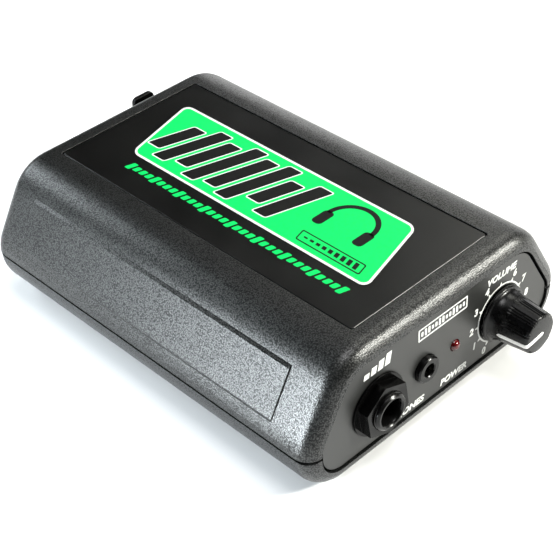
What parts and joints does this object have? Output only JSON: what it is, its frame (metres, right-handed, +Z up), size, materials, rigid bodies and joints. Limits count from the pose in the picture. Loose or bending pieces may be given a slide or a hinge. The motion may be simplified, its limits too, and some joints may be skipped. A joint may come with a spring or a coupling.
{
  "type": "headphone amplifier",
  "caption": "Desktop headphone amplifier: sloping two-part plastic case, end panels, panel jacks, turning volume knob, rear socket with push latch.",
  "frame": {"origin": "middle of the bounding box's underside, level with the undersides of the feet", "axes": "+X to the right seen from the front, +Y from the front panel towards the rear panel, +Z up"},
  "size_m": [0.0884, 0.1339, 0.0355],
  "materials": {
    "shell_plastic": "fine leather-like moulded grain, satin",
    "panel_plastic": "smooth satin grey with white print",
    "label_film": "satin printed plate",
    "black_plastic": "smooth moulded black",
    "knob_plastic": "smooth black with fine flutes",
    "pointer_white": "white inlay",
    "rubber": "soft matt black",
    "steel": "plated steel",
    "contact_metal": "plated brass contact",
    "board_green": "glass-fibre board with green mask",
    "led_red": "dark red diffused lens",
    "capacitor_sleeve": "shrink sleeve",
    "aluminium": "extruded"
  },
  "bodies": {
    "case": {"amplifier_chip_1": "black_plastic", "amplifier_chip_2": "black_plastic", "bottom_shell": "shell_plastic", "capacitor_1": "capacitor_sleeve", "capacitor_2": "capacitor_sleeve", "capacitor_3": "capacitor_sleeve", "capacitor_4": "capacitor_sleeve", "case_screw_1": "steel", "case_screw_2": "steel", "case_screw_3": "steel", "case_screw_4": "steel", "foot_1": "rubber", "foot_2": "rubber", "foot_3": "rubber", "foot_4": "rubber", "front_panel": "panel_plastic", "heat_sink": "aluminium", "led_anode_lead": "steel", "led_cathode_lead": "steel", "link_jack_body": "black_plastic", "link_jack_nut": "black_plastic", "link_jack_ring_spring": "contact_metal", "link_jack_tip_spring": "contact_metal", "main_board": "board_green", "mini_jack_body": "black_plastic", "mini_jack_sleeve": "contact_metal", "mini_jack_tip_spring": "contact_metal", "phone_jack_body": "black_plastic", "phone_jack_nut": "black_plastic", "phone_jack_ring_spring": "contact_metal", "phone_jack_tip_spring": "contact_metal", "power_inlet_body": "black_plastic", "power_inlet_pin": "contact_metal", "power_led": "led_red", "rear_panel": "panel_plastic", "top_label": "label_film", "top_shell": "shell_plastic", "voltage_regulator": "black_plastic", "volume_pot_body": "steel", "volume_pot_nut": "steel", "volume_pot_washer": "steel", "xlr_contact_1": "contact_metal", "xlr_contact_2": "contact_metal", "xlr_contact_3": "contact_metal", "xlr_insert": "black_plastic", "xlr_screw_1": "steel", "xlr_screw_2": "steel", "xlr_shell": "black_plastic"},
    "knob": {"volume_knob": "knob_plastic", "knob_pointer": "pointer_white", "volume_pot_shaft": "steel"},
    "latch": {"xlr_latch": "black_plastic"}
  },
  "joints": [
    {"name": "volume_turn", "type": "hinge", "parent": "case", "child": "knob", "pos_m": [0.02125, -0.05445, 0.0165], "axis": [0, 1, 0], "range_deg": [-50, 250]},
    {"name": "latch_press", "type": "slide", "parent": "case", "child": "latch", "axis": [0, -1, 0], "range_m": [0, 0.0014], "stiffness_N_per_m": 500, "springref_m": -0.002}
  ]
}
